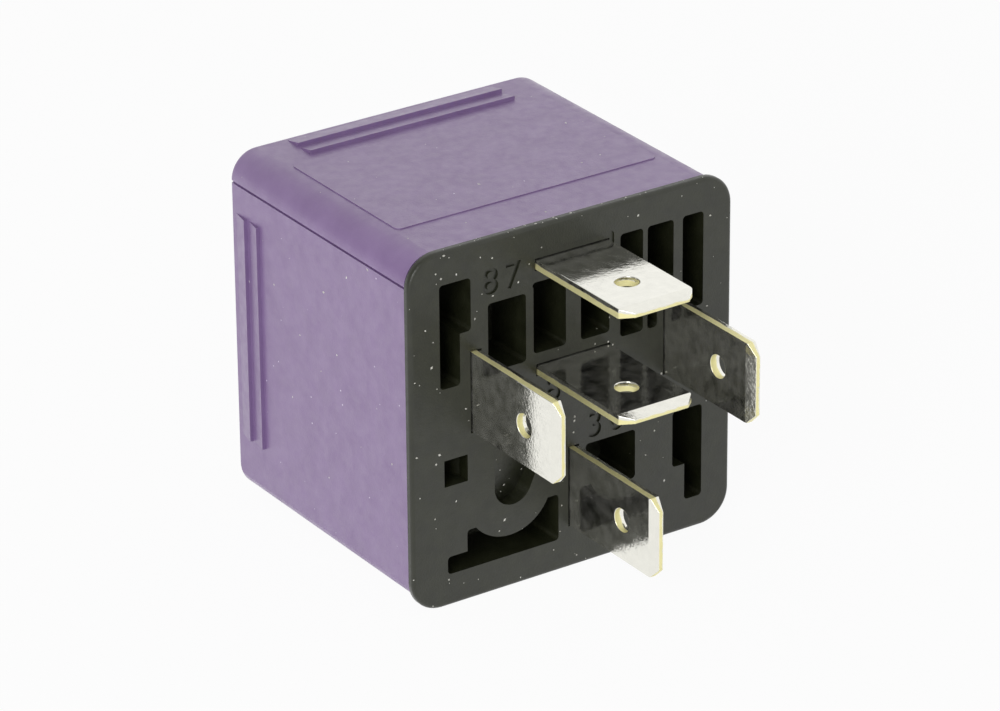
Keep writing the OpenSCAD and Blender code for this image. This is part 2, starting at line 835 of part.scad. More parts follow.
// Fixed contact with a flat head at y, its shank riveted through its arm towards +Y or -Y.
module fixed_contact(y, way) {
    translate([0, y, contact_z]) mirror([0, way < 0 ? 1 : 0, 0]) {
        rod_y(contact_d, contact_t);
        rod_y(shank_d - 2 * fit, contact_t + strip_t);
    }
}

module fixed_contact_no() {
    color("silver") placed() fixed_contact(no_face, -1);
}

module fixed_contact_nc() {
    color("silver") placed() fixed_contact(nc_face, 1);
}

// ---- Small parts ----

// Tension spring along Y: a helix with a straight end through each hooking hole.
module return_spring() {
    color("gray") placed() {
        r = (spring_d - spring_wire) / 2;
        leg = 1.2;
        y0 = tab_y + tab_t + leg;
        y1 = pole_y - leg;
        steps = 12;
        turns = [for (i = [0 : spring_turns * steps])
            [r * cos(360 * i / steps), y0 + (y1 - y0) * i / (spring_turns * steps),
             hook_z + r * sin(360 * i / steps)]];
        hook = 0.9;
        rest = spring_wire / 2 + run;
        tail_y = leaf_y;
        start = [[hook, tab_y - rest, hook_z], [hook / 6, tab_y - rest, hook_z],
                 [0, tab_y + hook / 6, hook_z], [0, tab_y + tab_t + leg / 2, hook_z],
                 [r * 0.7, y0 - leg / 5, hook_z - hook / 9]];
        finish = [[r * 0.7, y1 + leg / 5, hook_z + hook / 9], [0, y1 + leg / 2, hook_z],
                  [0, tail_y + touch, hook_z], [hook / 6, tail_y + rest, hook_z],
                  [hook, tail_y + rest, hook_z]];
        sweep(concat(start, turns, finish), spring_wire / 2);
    }
}

// Flexible lead from the common strip, round the bobbin's side, to the leaf's back.
module braid() {
    color("peru") placed() {
        r = braid_d / 2;
        foot_x = yoke_w / 2 + 0.6;
        side_x = inner_w / 2 - 1.2;
        foot_back = foot_y + r + fit;
        top_z = coil_z + 1;
        leaf_back = leaf_y + leaf_t + (top_z - hinge_z) * sin(rock_angle) + r + 0.1;
        foot = [[foot_x, foot_back, common_z], [foot_x + 1, foot_back, common_z]];
        curve = [[foot_x + 1.6, foot_back + 0.17, common_z], [side_x, foot_back + 2.4, common_z + 1],
                 [side_x, leaf_back + 0.4, coil_z], [armature_w / 2 + 1, leaf_back + 0.1, top_z]];
        top = [[armature_w / 2 - 1, leaf_back, top_z], [rivet_x + 0.9, leaf_back, top_z]];
        sweep(concat(foot, [for (i = [0 : 20]) blend4(curve, i / 20)], top), r);
    }
}

module yoke_rivet() {
    color("silver") placed()
        rod_y(strip_rivet_d - 2 * fit, strip_t + yoke_t, strip_rivet_x, base_d, common_z);
}

module resistor() {
    color("burlywood") placed() {
        translate([-resistor_len / 2, joint_y, resistor_z]) rotate([0, 90, 0]) {
            cylinder(h = resistor_len, d = waist_d);
            for (x = [0, resistor_len - cap_len]) translate([0, 0, x])
                cylinder(h = cap_len, d = resistor_d);
        }
    }
}

module resistor_leads() {
    color("silver") placed() {
        for (side = [0, 1]) mirror([side, 0, 0]) {
            translate([resistor_len / 2, joint_y, resistor_z]) rotate([0, 90, 0])
                cylinder(h = coil_x - resistor_len / 2, d = lead_d);
            translate([coil_x, joint_y, resistor_z]) sphere(d = lead_d);
            translate([coil_x, joint_y, joint_z - lead_d / 2 + fit])
                cylinder(h = resistor_z - joint_z + lead_d / 2 - fit, d = lead_d);
        }
    }
}

cover();
base();
terminal_30();
terminal_85();
terminal_86();
terminal_87();
terminal_87a();
yoke();
core();
bobbin();
coil_winding();
coil_leads();
solder_joints();
armature();
contact_leaf();
leaf_rivets();
moving_contact();
fixed_contact_no();
fixed_contact_nc();
return_spring();
braid();
yoke_rivet();
resistor();
resistor_leads();
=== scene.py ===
"""Automotive changeover relay: a purple moulded cover on a dark base with five tinned blades.

Inside are the magnet, its winding, the rocking armature with its spring and contacts, and the
wiring. The base and the cover are welded copies of the CAD nodes with fine recesses cut into them,
and the stamped and turned pieces are the CAD nodes. The winding, the wires, the spring, the solder
and the resistor's body are computed surfaces.
"""
import math

import bmesh
import bpy
import numpy as np
from mathutils import Matrix, Vector
from mathutils.bvhtree import BVHTree

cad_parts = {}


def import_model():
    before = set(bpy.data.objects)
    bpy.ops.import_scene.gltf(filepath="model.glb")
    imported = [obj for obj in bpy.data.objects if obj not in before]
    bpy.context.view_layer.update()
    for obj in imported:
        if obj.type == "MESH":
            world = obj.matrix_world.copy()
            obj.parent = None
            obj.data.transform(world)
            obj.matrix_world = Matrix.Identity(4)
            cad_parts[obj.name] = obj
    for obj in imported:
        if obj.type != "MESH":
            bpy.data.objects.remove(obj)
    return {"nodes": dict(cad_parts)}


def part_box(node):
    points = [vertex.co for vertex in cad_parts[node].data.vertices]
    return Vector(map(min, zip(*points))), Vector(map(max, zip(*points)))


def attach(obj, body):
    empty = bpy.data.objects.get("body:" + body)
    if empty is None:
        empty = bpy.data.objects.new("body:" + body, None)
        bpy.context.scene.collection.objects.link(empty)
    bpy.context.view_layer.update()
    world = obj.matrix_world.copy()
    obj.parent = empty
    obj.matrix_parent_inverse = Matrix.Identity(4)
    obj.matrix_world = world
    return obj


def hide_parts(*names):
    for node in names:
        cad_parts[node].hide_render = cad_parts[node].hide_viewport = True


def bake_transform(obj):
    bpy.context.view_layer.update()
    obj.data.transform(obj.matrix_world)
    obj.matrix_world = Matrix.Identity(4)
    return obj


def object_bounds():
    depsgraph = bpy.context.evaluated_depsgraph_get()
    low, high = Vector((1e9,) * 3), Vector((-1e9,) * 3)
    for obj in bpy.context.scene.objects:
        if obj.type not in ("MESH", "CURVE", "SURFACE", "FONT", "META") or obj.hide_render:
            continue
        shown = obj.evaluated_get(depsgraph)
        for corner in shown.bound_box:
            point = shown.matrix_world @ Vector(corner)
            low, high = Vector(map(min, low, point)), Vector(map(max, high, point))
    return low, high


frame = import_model()
cad_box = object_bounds()
MM = 0.001
TAU = 2 * math.pi


# ---- Places taken from the CAD frame ----

def box(name):
    """Lowest and highest corners of a CAD node at rest, as arrays."""
    low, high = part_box(name)
    return np.array(low), np.array(high)


BASE_LOW, BASE_HIGH = box("base")
COVER_LOW, COVER_HIGH = box("cover")
FACE_Y = BASE_LOW[1]
CENTRE_Z = (BASE_LOW[2] + BASE_HIGH[2]) / 2
COIL_LOW, COIL_HIGH = box("coil_winding")
COIL_Z = (COIL_LOW[2] + COIL_HIGH[2]) / 2


# ---- Materials ----

# The noise texture seldom leaves this band, so it is spread from here to the wanted range
NOISE_LOW, NOISE_HIGH = 0.32, 0.68


def linear(hex_colour):
    """The linear RGBA of an sRGB hex colour."""
    channels = [int(hex_colour[i:i + 2], 16) / 255 for i in (0, 2, 4)]
    return tuple(c / 12.92 if c <= 0.04045 else ((c + 0.055) / 1.055) ** 2.4
                 for c in channels) + (1,)


def add(tree, kind, inputs=None, out=0, **settings):
    """Adds a shader node with its settings, sets or links its inputs, and returns an output."""
    node = tree.nodes.new("ShaderNode" + kind)
    for name, value in settings.items():
        setattr(node, name, value)
    for name, value in (inputs or {}).items():
        if isinstance(value, bpy.types.NodeSocket):
            tree.links.new(value, node.inputs[name])
        else:
            node.inputs[name].default_value = value
    return node.outputs[out] if len(node.outputs) else node


def start(name, **sockets):
    """A material with one Principled shader, whose uniform sockets are set by name."""
    made = bpy.data.materials.new(name)
    made.use_nodes = True
    tree = made.node_tree
    tree.nodes.clear()
    shader = tree.nodes.new("ShaderNodeBsdfPrincipled")
    for socket, value in sockets.items():
        shader.inputs[socket.replace("_", " ")].default_value = value
    add(tree, "OutputMaterial", {0: shader.outputs[0]})
    return made, tree, shader, add(tree, "TexCoord", out="Object")


def noise(tree, where, size_mm, low, high, detail=3.0, stretch=(1, 1, 1)):
    """Noise with features of a real size, spread from low to high and stretched along axes."""
    squeezed = add(tree, "Mapping", {"Vector": where, "Scale": [1 / s for s in stretch]})
    grain = add(tree, "TexNoise", {"Vector": squeezed, "Scale": 1000 / size_mm, "Detail": detail})
    return add(tree, "MapRange", {"Value": grain, "From Min": NOISE_LOW, "From Max": NOISE_HIGH,
                                  "To Min": low, "To Max": high})


def bump(tree, shader, height, depth_mm):
    """Raises the surface by a height from 0 to 1, at a real depth."""
    made = add(tree, "Bump", {"Height": height, "Strength": 1.0, "Distance": depth_mm * MM})
    tree.links.new(made, shader.inputs["Normal"])


def moulded_nylon(name, deep, pale, rough, blotch_mm, grain_mm, grain_depth, lint, dust,
                  gloss=0.5):
    """Nylon moulded in a spark-eroded cavity: satin, finely pitted, faintly blotched.

    Lint is the hex colour of the dust that clings to it, and dust the share of cells that hold
    a speck. The eroded pits are about 0.03 mm wide, drawn coarser so that they show.
    """
    cell_mm = 0.9
    widest_speck = 0.085
    made, tree, shader, where = start(name, IOR=1.53, Specular_IOR_Level=gloss)
    blotch = noise(tree, where, blotch_mm, 0, 1)
    body = add(tree, "Mix", {"Factor": blotch, 6: linear(deep), 7: linear(pale)},
               out=2, data_type="RGBA")
    cell = tree.nodes.new("ShaderNodeTexVoronoi")
    cell.inputs["Scale"].default_value = 1000 / cell_mm
    tree.links.new(where, cell.inputs["Vector"])
    picked = add(tree, "SeparateColor", {0: cell.outputs["Color"]})
    size = add(tree, "MapRange", {"Value": picked, "From Min": 1 - dust, "From Max": 1.0,
                                  "To Min": 0.0, "To Max": widest_speck})
    speck = add(tree, "Math", {0: cell.outputs["Distance"], 1: size}, operation="LESS_THAN")
    tint = add(tree, "Mix", {"Factor": speck, 6: body, 7: linear(lint)}, out=2, data_type="RGBA")
    tree.links.new(tint, shader.inputs["Base Color"])
    tree.links.new(noise(tree, where, blotch_mm / 3, *rough), shader.inputs["Roughness"])
    bump(tree, shader, noise(tree, where, grain_mm, 0, 1, detail=5.0), grain_depth)
    return made


def tinned_strip(name, across, middle, half):
    """Brass strip, tin plated before it was stamped: bright faces under a faint patchy haze.

    The shear drags the plating over half of each edge, and the other half shows pale, torn and
    so rougher and duller brass. Across is the axis of the strip's thickness, and middle and half
    give where it lies on it.
    """
    tin, brass = linear("CECDC5"), linear("E6DFA6")
    torn_rough, torn_dull = 0.4, -0.45
    made, tree, shader, where = start(name)
    facing = add(tree, "TexCoord", out="Normal")
    across_facing = add(tree, "SeparateXYZ", {0: facing}, out=across)
    across_place = add(tree, "SeparateXYZ", {0: where}, out=across)
    turned = add(tree, "Math", {0: across_facing}, operation="ABSOLUTE")
    sheared = add(tree, "MapRange", {"Value": turned, "From Min": 0.75, "From Max": 0.45,
                                     "To Min": 0.0, "To Max": 1.0})
    wander = noise(tree, where, 0.8, -0.15, 0.15, stretch=(1, 3, 1))
    level = add(tree, "MapRange", {"Value": across_place, "From Min": middle - half,
                                   "From Max": middle + half, "To Min": -1.0, "To Max": 1.0})
    level = add(tree, "Math", {0: level, 1: wander}, operation="ADD")
    bare = add(tree, "MapRange", {"Value": level, "From Min": 0.3, "From Max": 0.1,
                                  "To Min": 0.0, "To Max": 1.0})
    bare = add(tree, "Math", {0: bare, 1: sheared}, operation="MULTIPLY")
    colour = add(tree, "Mix", {"Factor": bare, 6: tin, 7: brass}, out=2, data_type="RGBA")
    tree.links.new(colour, shader.inputs["Base Color"])
    plated = noise(tree, where, 0.9, 0.98, 0.88, detail=6.0)
    metallic = add(tree, "Math", {0: bare, 1: torn_dull, 2: plated}, operation="MULTIPLY_ADD")
    tree.links.new(metallic, shader.inputs["Metallic"])
    patches = noise(tree, where, 0.7, 0.05, 0.15, detail=6.0)
    scratch = noise(tree, where, 0.09, -0.02, 0.04, stretch=(1, 26, 1))
    rough = add(tree, "Math", {0: patches, 1: scratch}, operation="ADD")
    rough = add(tree, "Math", {0: bare, 1: torn_rough, 2: rough}, operation="MULTIPLY_ADD")
    tree.links.new(rough, shader.inputs["Roughness"])
    bump(tree, shader, noise(tree, where, 0.26, 0, 1, detail=3.0), 0.003)
    return made


def bare_metal(name, colour, tarnish, rough, grain_mm=0.2, stretch=(1, 1, 1), depth=0.002):
    """Worked metal with a fine grain along the way it was rolled or drawn, and faint tarnish."""
    made, tree, shader, where = start(name, Metallic=1.0)
    stain = noise(tree, where, 1.6, 0, 1, detail=4.0)
    tint = add(tree, "Mix", {"Factor": stain, 6: linear(colour), 7: linear(tarnish)},
               out=2, data_type="RGBA")
    tree.links.new(tint, shader.inputs["Base Color"])
    grain = noise(tree, where, grain_mm, rough[0], rough[1], stretch=stretch)
    tree.links.new(grain, shader.inputs["Roughness"])
    bump(tree, shader, noise(tree, where, grain_mm, 0, 1, stretch=stretch), depth)
    return made


def enamelled_copper():
    """Copper magnet wire under clear red-brown enamel, which adds a second, sharper gloss."""
    made, tree, shader, where = start("enamelled_copper", Metallic=0.75, Roughness=0.3,
                                      Coat_Weight=0.6, Coat_Roughness=0.08)
    stain = noise(tree, where, 0.9, 0, 1)
    tint = add(tree, "Mix", {"Factor": stain, 6: linear("8E3F22"), 7: linear("B05A30")},
               out=2, data_type="RGBA")
    tree.links.new(tint, shader.inputs["Base Color"])
    return made


def lacquered_ceramic(low, high):
    """Ceramic rod dipped in sand-coloured lacquer, with four painted bands across its length."""
    made, tree, shader, where = start("lacquered_ceramic", Roughness=0.32, Coat_Weight=0.3)
    along = add(tree, "SeparateXYZ", {0: where})
    place = add(tree, "MapRange", {"Value": along, "From Min": low, "From Max": high})
    ramp = tree.nodes.new("ShaderNodeValToRGB")
    ramp.color_ramp.interpolation = "CONSTANT"
    tree.links.new(place, ramp.inputs[0])
    body = linear("BBA57E")
    band = 0.06
    bands = [(0.26, "8A4B23"), (0.41, "2E4A86"), (0.56, "7A3B1F"), (0.76, "A98A3C")]
    stops = ramp.color_ramp.elements
    stops[0].color = body
    stops.remove(stops[1])
    for place_of, colour in bands:
        stops.new(place_of).color = linear(colour)
        stops.new(place_of + band).color = body
    tree.links.new(ramp.outputs[0], shader.inputs["Base Color"])
    bump(tree, shader, noise(tree, where, 0.5, 0, 1), 0.01)
    return made


def dust_fibre():
    """Pale lint and powder: matt and nearly white."""
    made, tree, shader, where = start("dust_fibre", Roughness=0.9)
    tint = add(tree, "Mix", {"Factor": noise(tree, where, 0.3, 0, 1), 6: linear("E9E8E2"),
                             7: linear("BDBBB0")}, out=2, data_type="RGBA")
    tree.links.new(tint, shader.inputs["Base Color"])
    return made


# Dull purple with a broad soft sheen
COVER_NYLON = moulded_nylon("cover_nylon", "7A608D", "836A96", (0.38, 0.5), 2.2, 0.16, 0.006,
                            "D9D0E2", 0.05, gloss=1.0)
# Glass-filled: nearly black, with an olive cast and little gloss
BASE_NYLON = moulded_nylon("base_nylon", "1A1C0F", "242618", (0.34, 0.46), 1.4, 0.14, 0.006,
                           "C9C9BE", 0.12, gloss=0.43)
# The same kind of moulding in neutral grey
BOBBIN_NYLON = moulded_nylon("bobbin_nylon", "2E2F31", "37383A", (0.4, 0.5), 1.5, 0.14, 0.004,
                             "8F8F8F", 0.0)
# Zinc dulls in clouds; rivets are cleaner, and the contacts' silver is the brightest metal
ZINCED_IRON = bare_metal("zinced_iron", "B4B8BE", "9A9C94", (0.25, 0.42))
RIVET_STEEL = bare_metal("rivet_steel", "A8AAAD", "8D8E90", (0.2, 0.35))
SILVER_ALLOY = bare_metal("silver_alloy", "E8E6E0", "CFC9BC", (0.16, 0.3))
# Rolled bronze is grained along its length; drawn wire is darker
SPRING_BRONZE = bare_metal("spring_bronze", "C89B5C", "A97F45", (0.2, 0.34), stretch=(1, 1, 12))
SPRING_STEEL = bare_metal("spring_steel", "8C8F94", "6F7174", (0.2, 0.35))
# Bare copper has gone brown; tinned wire and solder are pale, the solder the smoother
BRAIDED_COPPER = bare_metal("braided_copper", "C07A4C", "8F5130", (0.3, 0.5), grain_mm=0.05)
TINNED_COPPER = bare_metal("tinned_copper", "C9C9C6", "ACABA6", (0.18, 0.32))
SOFT_SOLDER = bare_metal("soft_solder", "BFC0C1", "9C9DA0", (0.14, 0.3), grain_mm=0.5, depth=0.01)
MAGNET_WIRE = enamelled_copper()
DUST = dust_fibre()


# ---- Surfaces ----

def skin(points, closed_rows=False, caps=True):
    """Quads over a grid of points whose columns close; open ends get a fan to their centre.

    The faces are turned outward: the sum of a . (b x c) over all corners must be positive.
    """
    rows, cols = points.shape[:2]
    i, j = np.meshgrid(np.arange(rows if closed_rows else rows - 1), np.arange(cols),
                       indexing="ij")
    below, across = (i + 1) % rows, (j + 1) % cols
    quads = np.stack([i * cols + j, i * cols + across, below * cols + across, below * cols + j],
                     axis=-1).reshape(-1, 4)
    verts = points.reshape(-1, 3)
    faces = quads.tolist()
    if caps and not closed_rows:
        ring = np.arange(cols)
        ends = np.stack([points[0].mean(axis=0), points[-1].mean(axis=0)])
        last = (rows - 1) * cols
        first_fan = np.stack([np.full(cols, len(verts)), (ring + 1) % cols, ring], axis=-1)
        last_fan = np.stack([np.full(cols, len(verts) + 1), last + ring,
                             last + (ring + 1) % cols], axis=-1)
        verts = np.concatenate([verts, ends])
        faces += first_fan.tolist() + last_fan.tolist()
    a, b, c, d = (verts[quads[:, k]] for k in range(4))
    volume = np.einsum("ij,ij->", a, np.cross(b, c)) + np.einsum("ij,ij->", a, np.cross(c, d))
    if volume < 0:
        faces = [face[::-1] for face in faces]
    return verts, faces


def tube(path, radius, sides, reference):
    """Round bar: path + radius * (cos u * A + sin u * B), with A = T x reference and B = T x A."""
    ahead = np.gradient(path, axis=0)
    ahead /= np.linalg.norm(ahead, axis=1, keepdims=True)
    side_a = np.cross(ahead, reference)
    side_a /= np.linalg.norm(side_a, axis=1, keepdims=True)
    side_b = np.cross(ahead, side_a)
    turn = np.arange(sides) * TAU / sides
    reach = np.broadcast_to(np.asarray(radius, float), (len(path), sides))[..., None]
    return path[:, None] + reach * (np.cos(turn)[None, :, None] * side_a[:, None]
                                    + np.sin(turn)[None, :, None] * side_b[:, None])


def piece(name, skins, material, replaces=None, body="housing", smooth=True):
    """Joins skins to one mesh object that takes a CAD node's place and rides on its body."""
    verts, faces, base = [], [], 0
    for points, quads in skins:
        verts.append(points)
        faces += [[base + k for k in face] for face in quads]
        base += len(points)
    mesh = bpy.data.meshes.new(name)
    mesh.from_pydata(np.concatenate(verts).tolist(), [], faces)
    mesh.polygons.foreach_set("use_smooth", [smooth] * len(mesh.polygons))
    mesh.materials.append(material)
    made = bpy.data.objects.new(name, mesh)
    bpy.context.scene.collection.objects.link(made)
    if body:
        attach(made, body)
    if replaces:
        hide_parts(replaces)
    return made


# ---- Stamped and moulded pieces ----

# Corners closer than this are one corner
WELD = 0.002 * MM


def soften(made, width_mm, segments=3):
    """Welds loose triangles, joins the flat ones into whole faces and rounds the edges.

    The rounding keeps to what the piece's closest corners leave room for. So the blades, bobbin
    and leaf get all of the width, the yoke and armature 0.01 to 0.02 mm, and the cover and base
    almost none.
    """
    weld = made.modifiers.new("weld", "WELD")
    weld.merge_threshold = WELD
    whole = made.modifiers.new("whole_faces", "DECIMATE")
    whole.decimate_type = "DISSOLVE"
    whole.angle_limit = math.radians(0.3)
    edge = made.modifiers.new("soft_edges", "BEVEL")
    edge.width = width_mm * MM
    edge.segments = segments
    edge.limit_method = "ANGLE"
    edge.angle_limit = math.radians(30)
    edge.harden_normals = True


def dress(name, material, edge_mm, segments=2):
    """Gives a CAD node its finish and soft edges."""
    node = frame["nodes"][name]
    node.data.materials.clear()
    node.data.materials.append(material)
    soften(node, edge_mm, segments)


def numeral_block(text, x, z, height, depth):
    """Solid numerals that straddle the terminal face, for cutting into it."""
    figure_share = 0.72
    curve = bpy.data.curves.new("numeral_" + text, "FONT")
    curve.body = text
    curve.size = height / figure_share
    curve.space_character = 1.33
    curve.extrude = depth
    curve.offset = 0.02 * MM
    curve.align_x = "CENTER"
    curve.align_y = "CENTER"
    shape = bpy.data.objects.new("numeral_" + text, curve)
    bpy.context.scene.collection.objects.link(shape)
    bpy.context.view_layer.update()
    solid = bpy.data.meshes.new_from_object(
        shape.evaluated_get(bpy.context.evaluated_depsgraph_get()))
    bpy.data.objects.remove(shape)
    solid.transform(Matrix.Translation((x, FACE_Y, z)) @ Matrix.Rotation(math.pi / 2, 4, "X"))
    return solid


def cut_copy(node, name, cutters, material):
    """A welded copy of a CAD node, less the cutters, so that they leave true recesses."""
    solids = bmesh.new()
    for cutter in cutters:
        solids.from_mesh(cutter)
    body = bmesh.new()
    body.from_mesh(frame["nodes"][node].data)
    shapes = []
    for label, mesh_data in (("cutters", solids), (name, body)):
        bmesh.ops.remove_doubles(mesh_data, verts=mesh_data.verts, dist=WELD)
        bmesh.ops.recalc_face_normals(mesh_data, faces=mesh_data.faces)
        mesh = bpy.data.meshes.new(label)
        mesh_data.to_mesh(mesh)
        mesh_data.free()
        shapes.append(bpy.data.objects.new(label, mesh))
        bpy.context.scene.collection.objects.link(shapes[-1])
    cut = shapes[1].modifiers.new("recesses", "BOOLEAN")
    cut.object = shapes[0]
    cut.solver = "EXACT"
    finished = bpy.data.meshes.new_from_object(
        shapes[1].evaluated_get(bpy.context.evaluated_depsgraph_get()))
    for shape in shapes:
        bpy.data.objects.remove(shape)
    finished.materials.clear()
    finished.materials.append(material)
    made = bpy.data.objects.new(name, finished)
    bpy.context.scene.collection.objects.link(made)
    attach(made, "housing")
    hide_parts(node)
    return made


def marked_base():
    """The base with plain terminal numbers sunk 0.15 mm into its face."""
    height, depth = 2.05 * MM, 0.15 * MM
    places = (("87", -6.14, 24.6), ("30", 2.85, 10.9), ("87a", 0.0, 14.75))
    numerals = [numeral_block(text, x * MM, z * MM, height, depth) for text, x, z in places]
    soften(cut_copy("base", "marked_base", numerals, BASE_NYLON), 0.07, 2)


def bar(low, high):
    """A block for cutting, from its lowest and highest corners."""
    corners = [(x, y, z) for x in (low[0], high[0]) for y in (low[1], high[1])
               for z in (low[2], high[2])]
    mesh = bpy.data.meshes.new("bar")
    mesh.from_pydata(corners, [], [(0, 1, 3, 2), (4, 6, 7, 5), (0, 4, 5, 1), (2, 3, 7, 6),
                                   (0, 2, 6, 4), (1, 5, 7, 3)])
    return mesh


def parted_cover():
    """The cover with the mould's parting line along the top of its left panel.

    The side ribs stand 0.3 mm on a panel sunk 0.16 mm. A groove 0.33 mm high and 0.2 mm deep
    makes the panel's upper step a dark line. The lower step is planed off, so that the panel runs
    out into the round corner.
    """
    rib, panel, corner = 0.3 * MM, 0.16 * MM, 2.2 * MM
    deep, below, above = 0.2 * MM, 0.24 * MM, 0.09 * MM
    over, overlap = 1.0 * MM, 0.02 * MM
    panel_x = COVER_LOW[0] + rib
    wall_x = panel_x - panel
    top, bottom = COVER_HIGH[2] - rib - corner, COVER_LOW[2] + rib + corner
    front, back = COVER_LOW[1] - over, COVER_HIGH[1] + over
    groove = bar((wall_x - rib, front, top - below), (panel_x + deep, back, top + above))
    plane = bar((wall_x - over, front, bottom - over), (panel_x, back, bottom + overlap))
    soften(cut_copy("cover", "parted_cover", [groove, plane], COVER_NYLON),
           0.06, 3)


marked_base()
parted_cover()
dress("bobbin", BOBBIN_NYLON, 0.1)
for iron_piece in ("yoke", "core", "armature"):
    dress(iron_piece, ZINCED_IRON, 0.08)
for rivet in ("leaf_rivets", "yoke_rivet"):
    dress(rivet, RIVET_STEEL, 0.05)
for contact in ("moving_contact", "fixed_contact_no", "fixed_contact_nc"):
    dress(contact, SILVER_ALLOY, 0.04)
dress("contact_leaf", SPRING_BRONZE, 0.04)
dress("resistor_leads", TINNED_COPPER, 0.04)

# Level blades are thin along Z, upright ones along X; the last value says which face of the
# node's box lies on the blade
X, Z = 0, 2
LOW, HIGH = 0, 1
HALF_STRIP = 0.4 * MM
for number, across, side in (("87", Z, HIGH), ("87a", Z, LOW), ("30", X, LOW), ("85", X, LOW),
                             ("86", X, LOW)):
    face = box("terminal_" + number)[side][across]
    middle = face - HALF_STRIP if side == HIGH else face + HALF_STRIP
    strip = tinned_strip("tinned_strip_" + number, across, middle, HALF_STRIP)
    dress("terminal_" + number, strip, 0.06)


# ---- Magnet ----

def wound_wire():
    """The winding: radius = R + w * sqrt(1 - (2p - 1)^2), where p is the part of a turn gone.

    The ridge climbs one wire's width a turn, so that it runs round as one helix.
    """
    wire = 0.16 * MM
    inner = 4.13 * MM
    low, high = COIL_LOW[1], COIL_HIGH[1]
    turns = round((high - low) / wire)
    rows_a_turn, cols = 7, 96
    rows = turns * rows_a_turn + 1
    along = np.linspace(0, 1, rows)[:, None]
    turn = np.linspace(0, TAU, cols, endpoint=False)[None, :]
    gone = (along * turns + turn / TAU) % 1
    outer = COIL_HIGH[0] - wire / 2
    radius = outer + wire / 2 * np.sqrt(np.clip(1 - (2 * gone - 1) ** 2, 0, 1))
    shell = np.stack([radius * np.cos(turn), np.broadcast_to(low + (high - low) * along,
                      radius.shape), COIL_Z + radius * np.sin(turn)], axis=-1)
    bore_y = np.array([high, high, low, low])[:, None]
    bore_r = np.array([outer - wire, inner, inner, outer - wire])[:, None]
    bore = np.stack([bore_r * np.cos(turn), bore_y + 0 * turn, COIL_Z + bore_r * np.sin(turn)],
                    axis=-1)
    piece("wound_wire", [skin(np.concatenate([shell, bore]), closed_rows=True)], MAGNET_WIRE,
          "coil_winding")


wound_wire()


# ---- Small wiring ----

def bezier(corners, count):
    """Bezier curve: each pair of neighbours gives its point at share t, until one point is left."""
    t = np.linspace(0, 1, count)[:, None, None]
    points = np.broadcast_to(np.array(corners, float), (count, len(corners), 3))
    while points.shape[1] > 1:
        points = points[:, :-1] * (1 - t) + points[:, 1:] * t
    return points[:, 0]


JOINT_LOW, JOINT_HIGH = box("solder_joints")
JOINT_R = 0.95 * MM
JOINT_X = JOINT_HIGH[0] - JOINT_R
JOINT_Y = (JOINT_LOW[1] + JOINT_HIGH[1]) / 2
JOINT_Z = JOINT_LOW[2] + JOINT_R
POST_HALF_X, POST_HALF_Z = 0.4 * MM, 1.0 * MM


def lead_wire(side):
    """One end of the winding: off the coil in a slack bow, three turns round its post, and up.

    A turn is a squared ring: x = a |cos t|^0.5, z = b |sin t|^0.5, each with its sign.
    """
    wire = 0.09 * MM
    post_z = COIL_Z + 4.2 * MM
    first_y, last_y = JOINT_Y - 2.0 * MM, JOINT_Y - 1.1 * MM
    a, b = POST_HALF_X + wire, POST_HALF_Z + wire
    turns = 3
    t = np.linspace(math.pi, math.pi + TAU * (turns - 0.25), turns * 32)
    shares = np.cos(t), np.sin(t)
    ring_x, ring_z = (np.sign(share) * np.sqrt(np.abs(share)) for share in shares)
    wound_y = np.linspace(first_y, last_y, len(t))
    wound = np.stack([JOINT_X + a * ring_x, wound_y, post_z + b * ring_z], axis=-1)
    coil_r = COIL_HIGH[0] + wire
    off_x, off_z = coil_r * math.cos(math.pi / 6), COIL_Z + coil_r * math.sin(math.pi / 6)
    slack = bezier([(off_x, JOINT_Y, off_z), (off_x + 0.5 * MM, JOINT_Y, off_z - 0.7 * MM),
                    (wound[0][0], wound[0][1], post_z - 0.9 * MM), wound[0]], 24)
    rise = bezier([wound[-1], wound[-1] + [0, 0.5 * MM, 0.25 * MM],
                   (JOINT_X, JOINT_Y, JOINT_Z)], 10)
    path = np.concatenate([slack[:-1], wound, rise[1:]]) * [side, 1, 1]
    nearly_y = np.array([0.02, 1.0, 0.03])
    return skin(tube(path, wire, 8, nearly_y))


def coil_leads():
    """Both ends of the winding on their posts."""
    piece("coil_leads_wound", [lead_wire(side) for side in (-1, 1)], MAGNET_WIRE,
          "coil_leads")


def solder_blob(side):
    """A drop that climbs the resistor's lead: r = R sqrt(1 - h^2), joined by a hollow fillet.

    The fillet narrows from the drop to the lead as a quarter ellipse, and three faint lobes
    run round the whole: r (1 + 0.05 cos(3 u + 4 h)).
    """
    lead_r = 0.34 * MM
    climb, fillet = 0.62, 0.7
    h = np.linspace(-1, climb, 18)
    drop = JOINT_R * np.sqrt(np.clip(1 - h * h, 0, 1))
    rise = np.linspace(0, 1, 12)[1:]
    waist = drop[-1]
    neck = lead_r + (waist - lead_r) * (1 - np.sqrt(np.clip(1 - (1 - rise) ** 2, 0, 1)))
    height = np.concatenate([h, climb + fillet * rise])
    radius = np.concatenate([np.maximum(drop, 0.02 * MM), neck])
    turn = np.linspace(0, TAU, 28, endpoint=False)
    lobes = 1 + 0.05 * np.cos(3 * turn[None, :] + 4 * height[:, None])
    reach = radius[:, None] * np.minimum(lobes, 1.0)
    return skin(np.stack([side * JOINT_X + reach * np.cos(turn), JOINT_Y + reach * np.sin(turn),
                          JOINT_Z + JOINT_R * height[:, None] + 0 * reach], axis=-1))


def solder():
    """The two soldered joints on the coil's posts."""
    piece("soldered_joints", [solder_blob(side) for side in (-1, 1)], SOFT_SOLDER,
          "solder_joints")


